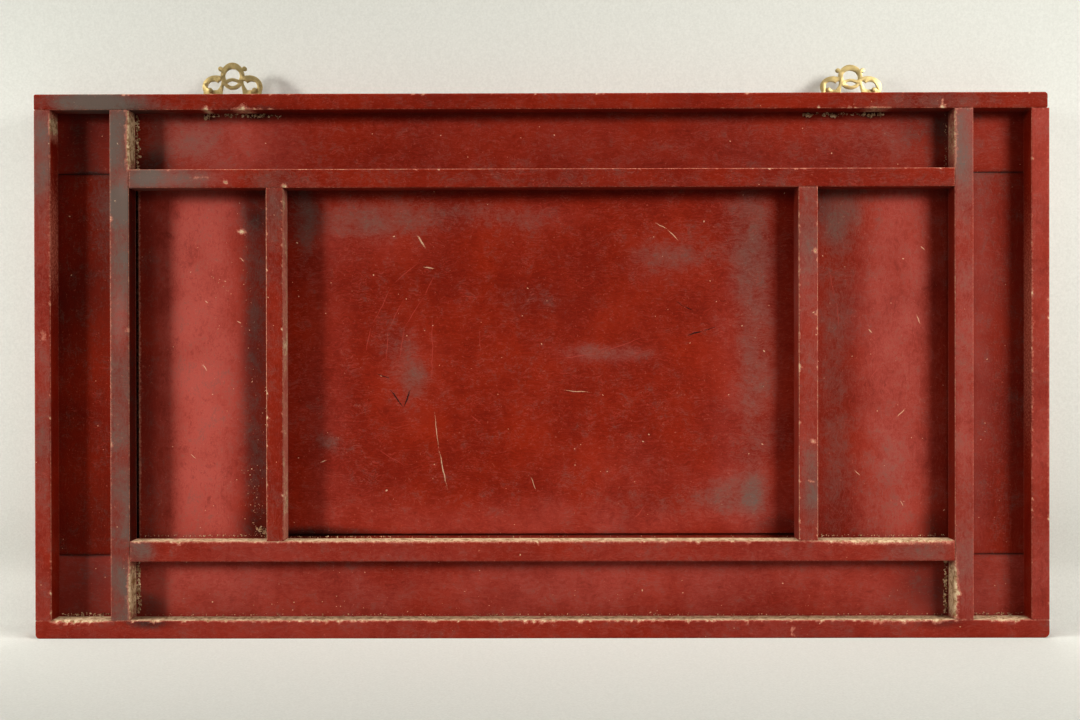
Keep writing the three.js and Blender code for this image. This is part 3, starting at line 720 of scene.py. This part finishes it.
def settle(bm, name, node, material, smooth=40):
    """Turns a bmesh into a finished piece that stands for a CAD node."""
    bmesh.ops.recalc_face_normals(bm, faces=bm.faces)
    mesh = bpy.data.meshes.new(name)
    bm.to_mesh(mesh)
    bm.free()
    mesh.polygons.foreach_set("use_smooth", [True] * len(mesh.polygons))
    mesh.set_sharp_from_angle(angle=math.radians(smooth))
    mesh.materials.append(material)
    piece = bpy.data.objects.new(name, mesh)
    bpy.context.scene.collection.objects.link(piece)
    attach(piece, "root")
    if node:
        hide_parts(node)
    return piece


def wood_material(piece, along):
    """The lacquer of a piece: its own where it has marks, or the one it shares."""
    key = piece if piece in MARKS else along
    if key not in used:
        label = {"X": "Red lacquer, grain lying", "Z": "Red lacquer, grain upright"}.get(key, "Red lacquer, " + key)
        used[key] = lacquer(label, along, MARKS.get(piece, ()))
    return used[key]


def build_bars(names):
    """Builds the named bars of the frame or lattice."""
    wood = bpy.context.scene.doorpanel_wood
    for name in names:
        facts = BARS[name]
        node, along, worn = facts[0], facts[1], facts[5]
        seed = sorted(BARS).index(name) + 1
        bm = from_cad(node)
        low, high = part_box(node)
        long_axis, cross_axis = (0, 2) if along == "X" else (2, 0)
        slice_along(bm, cross_axis, wood.step_across, low[cross_axis], high[cross_axis])
        slice_along(bm, 1, wood.step_across, low[1], high[1])
        slice_along(bm, long_axis, wood.step, low[long_axis], high[long_axis])
        bm.normal_update()
        layers, low, high, offset = dress(bm, name, seed, facts)
        wear_and_highlight_edges(bm, layers, low, high, offset, worn, wood.nick)
        front = [v for v in bm.verts if v.co.y < (FACE + 5) * MM]
        for x, z, radius, depth in chips_of(name, seed):
            near = [v for v in front if abs(v.co.x - x * MM) < radius * MM and abs(v.co.z - z * MM) < radius * MM]
            chip(bm, near, layers["wear_and_highlight"], x, z, radius, depth)
        keep_inside(bm, low, high)
        settle(bm, name, node, wood_material(name, along))


def build_boards(names):
    """Builds the named boards, with eased edges at the seams and a face that dips a little."""
    wood = bpy.context.scene.doorpanel_wood
    for name in names:
        facts = BOARDS[name]
        node, along = facts[:2]
        seed = sorted(BOARDS).index(name) + 31
        bm = from_cad(node)
        low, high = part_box(node)
        rim = [e for e in bm.edges if len(e.link_faces) == 2 and all(v.co.y < low.y + 1e-5 for v in e.verts)]
        bmesh.ops.bevel(
            bm, geom=rim, offset=wood.eased_edge, segments=2, profile=0.5, affect="EDGES", material=-1,
            clamp_overlap=True,
        )
        slice_along(bm, 0, wood.board_step, low.x, high.x)
        slice_along(bm, 2, wood.board_step, low.z, high.z)
        bm.normal_update()
        layers, low, high, offset = dress(bm, name, seed, facts)
        for v in bm.verts:
            p = v.co / MM
            if v.normal.y < -0.6:
                dip = 0.5 + 0.5 * noise.noise(Vector((p.x, 0, p.z)) * 0.011 + offset)
                v.co.y += wood.wave * dip
            # Painted shade: grime on the rounded seam edges darkens them where they sit in the shaded gaps beside the
            # bars
            closeness = roundness(v)
            v[layers["grime_and_shade"]] += 0.9 * closeness
        keep_inside(bm, low, high)
        settle(bm, name, node, wood_material(name, along))


def old_brass(name, rubbed):
    """Cast brass, dulled and brown in the hollows, brighter where hands and cord have rubbed it."""
    settings = bpy.context.scene.doorpanel_brass
    material, tree = new_material(name)
    place = add(tree, "TexCoord", output="Object")
    blotch = add(tree, "TexNoise", {"Vector": place, "Scale": per_mm(6), "Detail": 4.0, "Roughness": 0.65})
    pits = add(tree, "TexNoise", {"Vector": place, "Scale": per_mm(0.9), "Detail": 3.0})
    raised = add(tree, "Attribute", output="Fac", attribute_name="raised")
    tarnish = add(tree, "Math", {0: raised, 1: -0.35, 2: blotch}, operation="MULTIPLY_ADD")
    tarnish = add(tree, "MapRange", {0: tarnish, 1: 0.3 - rubbed, 2: 0.62 - rubbed, 3: 0.0, 4: 1.0})
    tint = add(tree, "Mix", {0: tarnish, 6: settings.metal, 7: settings.patina}, output=2, data_type="RGBA")
    rough = add(tree, "MapRange", {0: blotch, 1: 0.3, 2: 0.7, 3: 0.38, 4: 0.6})
    bump = add(tree, "Bump", {"Height": pits, "Strength": 0.4, "Distance": 0.12 * MM})
    shader = add(
        tree, "BsdfPrincipled", {"Base Color": tint, "Metallic": 1.0, "Roughness": rough, "Normal": bump}
    )
    add_output(tree, shader)
    return material


def raised_line(bm, layer, x, z, half_width, half_height, start, end, y, radius):
    """Adds a raised line to a casting: a bead of the given radius swept part way round a circle of one metre about the
    origin, in the plane of the plate.
    """
    made = bmesh.ops.create_circle(
        bm, cap_ends=False, radius=radius, segments=8, matrix=Matrix.Translation((1.0, 0, 0))
    )
    ring = made["verts"]
    edges = list({e for v in ring for e in v.link_edges})
    sweep = math.radians(end - start)
    turns = max(6, round(abs(math.degrees(sweep)) / 10))
    closed = abs(end - start) >= 360
    first = Matrix.Rotation(-math.radians(start), 3, "Y")
    bmesh.ops.rotate(bm, verts=ring, cent=(0, 0, 0), matrix=first)
    spun = bmesh.ops.spin(
        bm, geom=ring + edges, cent=(0, 0, 0), axis=(0, -1, 0), dvec=(0, 0, 0), angle=sweep, steps=turns,
        use_merge=closed, use_duplicate=False,
    )
    return ring, spun


class DOORPANEL_OT_frame(bpy.types.Operator):
    """Build the outer frame of two rails and two stiles"""

    bl_idname = "doorpanel.frame"
    bl_label = "Outer frame"

    def execute(self, context):
        build_bars(("top_rail", "bottom_rail", "left_stile", "right_stile"))
        return {"FINISHED"}


class DOORPANEL_OT_lattice(bpy.types.Operator):
    """Build the flat lattice of uprights and rails"""

    bl_idname = "doorpanel.lattice"
    bl_label = "Lattice"

    def execute(self, context):
        build_bars(
            (
                "long_stile_left",
                "long_stile_right",
                "upper_rail",
                "lower_rail",
                "short_stile_left_bar",
                "short_stile_right_bar",
            )
        )
        return {"FINISHED"}


class DOORPANEL_OT_boards(bpy.types.Operator):
    """Build the ground boards behind the lattice"""

    bl_idname = "doorpanel.boards"
    bl_label = "Ground boards"

    def execute(self, context):
        build_boards(("upper_board", "lower_board", "left_board", "right_board"))
        return {"FINISHED"}


class DOORPANEL_OT_fields(bpy.types.Operator):
    """Build the three deeper field boards"""

    bl_idname = "doorpanel.fields"
    bl_label = "Field boards"

    def execute(self, context):
        build_boards(("left_field", "middle_field", "right_field"))
        return {"FINISHED"}


class DOORPANEL_OT_hangers(bpy.types.Operator):
    """Build the two pierced brass hangers and their nails"""

    bl_idname = "doorpanel.hangers"
    bl_label = "Hangers and nails"

    def execute(self, context):
        brass = context.scene.doorpanel_brass
        for side, rubbed in (("left", 0.0), ("right", -0.08)):
            material = old_brass("Old cast brass, " + side, rubbed)
            bm = from_cad("hanger_" + side)
            raised = bm.verts.layers.float.new("raised")
            outline = [e for e in bm.edges if len(e.link_faces) == 2 and e.calc_face_angle(0) > math.radians(60)]
            outline = [e for e in outline if abs(e.verts[0].co.y - e.verts[1].co.y) < 1e-6]
            bmesh.ops.bevel(
                bm, geom=outline, offset=brass.edge, segments=2, profile=0.5, affect="EDGES", material=-1,
                clamp_overlap=True,
            )
            for v in bm.verts:
                v[raised] = 0.5 if v.co.y < -0.003 else 0.0
            settle(bm, side + "_hanger", "hanger_" + side, material, smooth=50)
            for number in (1, 2):
                node = "hanger_%s_nail_%d" % (side, number)
                bm = from_cad(node)
                settle(bm, "%s_nail_%d" % (side, number), node, material, smooth=50)
        return {"FINISHED"}


class DOORPANEL_OT_crumbs(bpy.types.Operator):
    """Scatter the crumbs of gesso and lacquer in the corners"""

    bl_idname = "doorpanel.crumbs"
    bl_label = "Crumbs of gesso"

    def execute(self, context):
        settings = context.scene.doorpanel_lacquer
        material, tree = new_material("Gesso crumbs")
        place = add(tree, "TexCoord", output="Object")
        mottle = add(tree, "TexNoise", {"Vector": place, "Scale": per_mm(3), "Detail": 2.0})
        mottle = add(tree, "MapRange", {0: mottle, 1: 0.4, 2: 0.6})
        tint = add(tree, "Mix", {0: mottle, 6: settings.gesso, 7: settings.bare}, output=2, data_type="RGBA")
        add_output(tree, add(tree, "BsdfPrincipled", {"Base Color": tint, "Roughness": 0.9}))
        dice = random.Random(11)
        bm = bmesh.new()
        for x0, z0, x1, z1, y, spread, count, size in CRUMBS:
            for _ in range(count):
                t, away = dice.random(), dice.gauss(0, spread / 2)
                across = (away, 0) if abs(x1 - x0) < abs(z1 - z0) else (0, away)
                x, z = x0 + (x1 - x0) * t + across[0], z0 + (z1 - z0) * t + across[1]
                scale = Vector([size * dice.uniform(0.25, 1.0) ** 1.5 * MM / 2 for _ in range(3)])
                turn = Euler([dice.uniform(0, math.pi) for _ in range(3)]).to_matrix().to_4x4()
                spot = Matrix.Translation((x * MM, y * MM - scale.y * 0.3, z * MM))
                bmesh.ops.create_icosphere(
                    bm, subdivisions=1, radius=1.0, matrix=spot @ Matrix.Diagonal(scale).to_4x4() @ turn
                )
        settle(bm, "gesso_crumbs", None, material, smooth=20)
        return {"FINISHED"}


class DOORPANEL_OT_stage(bpy.types.Operator):
    """Set up the pale floor and backdrop, the soft lights and the camera"""

    bl_idname = "doorpanel.stage"
    bl_label = "Stage"

    def execute(self, context):
        settings = context.scene.doorpanel_stage
        bm = bmesh.new()
        ends = [bm.verts.new((-1.3, -1.9, -0.471))]
        for back, height in PAPER_PROFILE:
            made = bmesh.ops.extrude_vert_indiv(bm, verts=ends)
            ends = made["verts"]
            ends[0].co = (-1.3, back * MM, height * MM)
        swept = bmesh.ops.extrude_edge_only(bm, edges=bm.edges[:])
        new = [v for v in swept["geom"] if isinstance(v, bmesh.types.BMVert)]
        bmesh.ops.translate(bm, verts=new, vec=(2.6, 0, 0))
        for face in bm.faces:
            face.normal_update()
            inward = Vector((0, -1, 1))
            if face.normal.dot(inward) < 0:
                face.normal_flip()
        mesh = bpy.data.meshes.new("paper_sweep")
        bm.to_mesh(mesh)
        bm.free()
        mesh.polygons.foreach_set("use_smooth", [True] * len(mesh.polygons))
        sweep = bpy.data.objects.new("paper_sweep", mesh)
        context.scene.collection.objects.link(sweep)
        sweep.visible_shadow = False
        # Matt paper, seen from its front only, so that the back of the panel can be looked at
        material, tree = new_material("Pale backdrop paper")
        place = add(tree, "TexCoord", output="Object")
        fibre = add(tree, "TexNoise", {"Vector": place, "Scale": per_mm(1.6), "Detail": 3.0})
        fibre = add(tree, "MapRange", {0: fibre, 1: 0.3, 2: 0.7, 3: 0.95, 4: 1.05})
        tint = add(tree, "VectorMath", {0: settings.paper[:3], 3: fibre}, operation="SCALE")
        paper = add(tree, "BsdfDiffuse", {"Color": tint})
        clear = add(tree, "BsdfTransparent")
        behind = add(tree, "NewGeometry", output="Backfacing")
        add_output(tree, add(tree, "MixShader", {0: behind, 1: paper, 2: clear}))
        mesh.materials.append(material)

        for name, place, aim, size, spread, watts in (
            ("left", (-2.75, -1.35, 0.45), (-0.78, 0.0, -0.1), (0.8, 0.8), 24, settings.left),
            ("right", (1.74, -1.56, 0.5), (0.43, 0.0, -0.1), (0.85, 0.8), 35, settings.right),
            ("above", (0.0, -0.22, 1.5), (0.0, -0.22, 0.0), (1.8, 0.28), 180, settings.above),
            ("behind", (0.3, 1.6, 0.3), (0.0, 0.0, -0.23), (1.6, 1.2), 180, settings.behind),
        ):
            lamp = bpy.data.lights.new(name + "_light", "AREA")
            lamp.shape = "RECTANGLE"
            lamp.size = size[0]
            lamp.size_y = size[1]
            lamp.spread = math.radians(spread)
            lamp.energy = watts
            lamp.color = (1.0, 0.975, 0.91)
            light = bpy.data.objects.new(name + "_light", lamp)
            light.location = place
            toward = Vector(aim) - Vector(place)
            light.rotation_euler = toward.to_track_quat("-Z", "Y").to_euler()
            context.scene.collection.objects.link(light)

        world = bpy.data.worlds.new("Studio air")
        world.use_nodes = True
        background = world.node_tree.nodes["Background"]
        background.inputs["Color"].default_value = linear("#f2eee6")
        background.inputs["Strength"].default_value = 0.1
        context.scene.world = world
        context.scene.view_settings.view_transform = "Standard"
        context.scene.view_settings.look = "Medium High Contrast"

        lens = bpy.data.cameras.new("camera")
        lens.sensor_width = 36.0
        lens.lens = 36.0 * 1285.0 / 1080.0
        camera = bpy.data.objects.new("camera", lens)
        turned = (
            Matrix.Rotation(math.radians(0.2137), 4, "Z")
            @ Matrix.Rotation(math.radians(-0.21), 4, "X")
            @ Matrix.Rotation(math.radians(0.1084), 4, "Y")
            @ Matrix.Rotation(math.radians(90), 4, "X")
        )
        camera.matrix_world = Matrix.Translation((0.0031, -1.16005, -0.22273)) @ turned
        context.scene.collection.objects.link(camera)
        context.scene.camera = camera
        return {"FINISHED"}


class DOORPANEL_PT_sidebar(bpy.types.Panel):
    """Lists the steps that build the door panel"""

    bl_idname = "DOORPANEL_PT_sidebar"
    bl_label = "Door panel"
    bl_space_type = "VIEW_3D"
    bl_region_type = "UI"
    bl_category = "Door panel"

    def draw(self, context):
        for step in STEPS:
            self.layout.operator(step.bl_idname)
        for group in ("lacquer", "wood", "brass", "stage"):
            settings = getattr(context.scene, "doorpanel_" + group)
            for name in settings.__annotations__:
                self.layout.prop(settings, name)


GROUPS = {
    "doorpanel_lacquer": DOORPANEL_PG_lacquer,
    "doorpanel_wood": DOORPANEL_PG_wood,
    "doorpanel_brass": DOORPANEL_PG_brass,
    "doorpanel_stage": DOORPANEL_PG_stage,
}
STEPS = (
    DOORPANEL_OT_stage,
    DOORPANEL_OT_frame,
    DOORPANEL_OT_lattice,
    DOORPANEL_OT_boards,
    DOORPANEL_OT_fields,
    DOORPANEL_OT_hangers,
    DOORPANEL_OT_crumbs,
)
CLASSES = (*GROUPS.values(), *STEPS, DOORPANEL_PT_sidebar)


def register():
    for cls in CLASSES:
        bpy.utils.register_class(cls)
    for name, group in GROUPS.items():
        setattr(bpy.types.Scene, name, PointerProperty(type=group))


def unregister():
    for name in GROUPS:
        delattr(bpy.types.Scene, name)
    for cls in reversed(CLASSES):
        bpy.utils.unregister_class(cls)


def main():
    register()
    for step in STEPS:
        space, name = step.bl_idname.split(".")
        getattr(getattr(bpy.ops, space), name)()


if __name__ == "__main__":
    main()
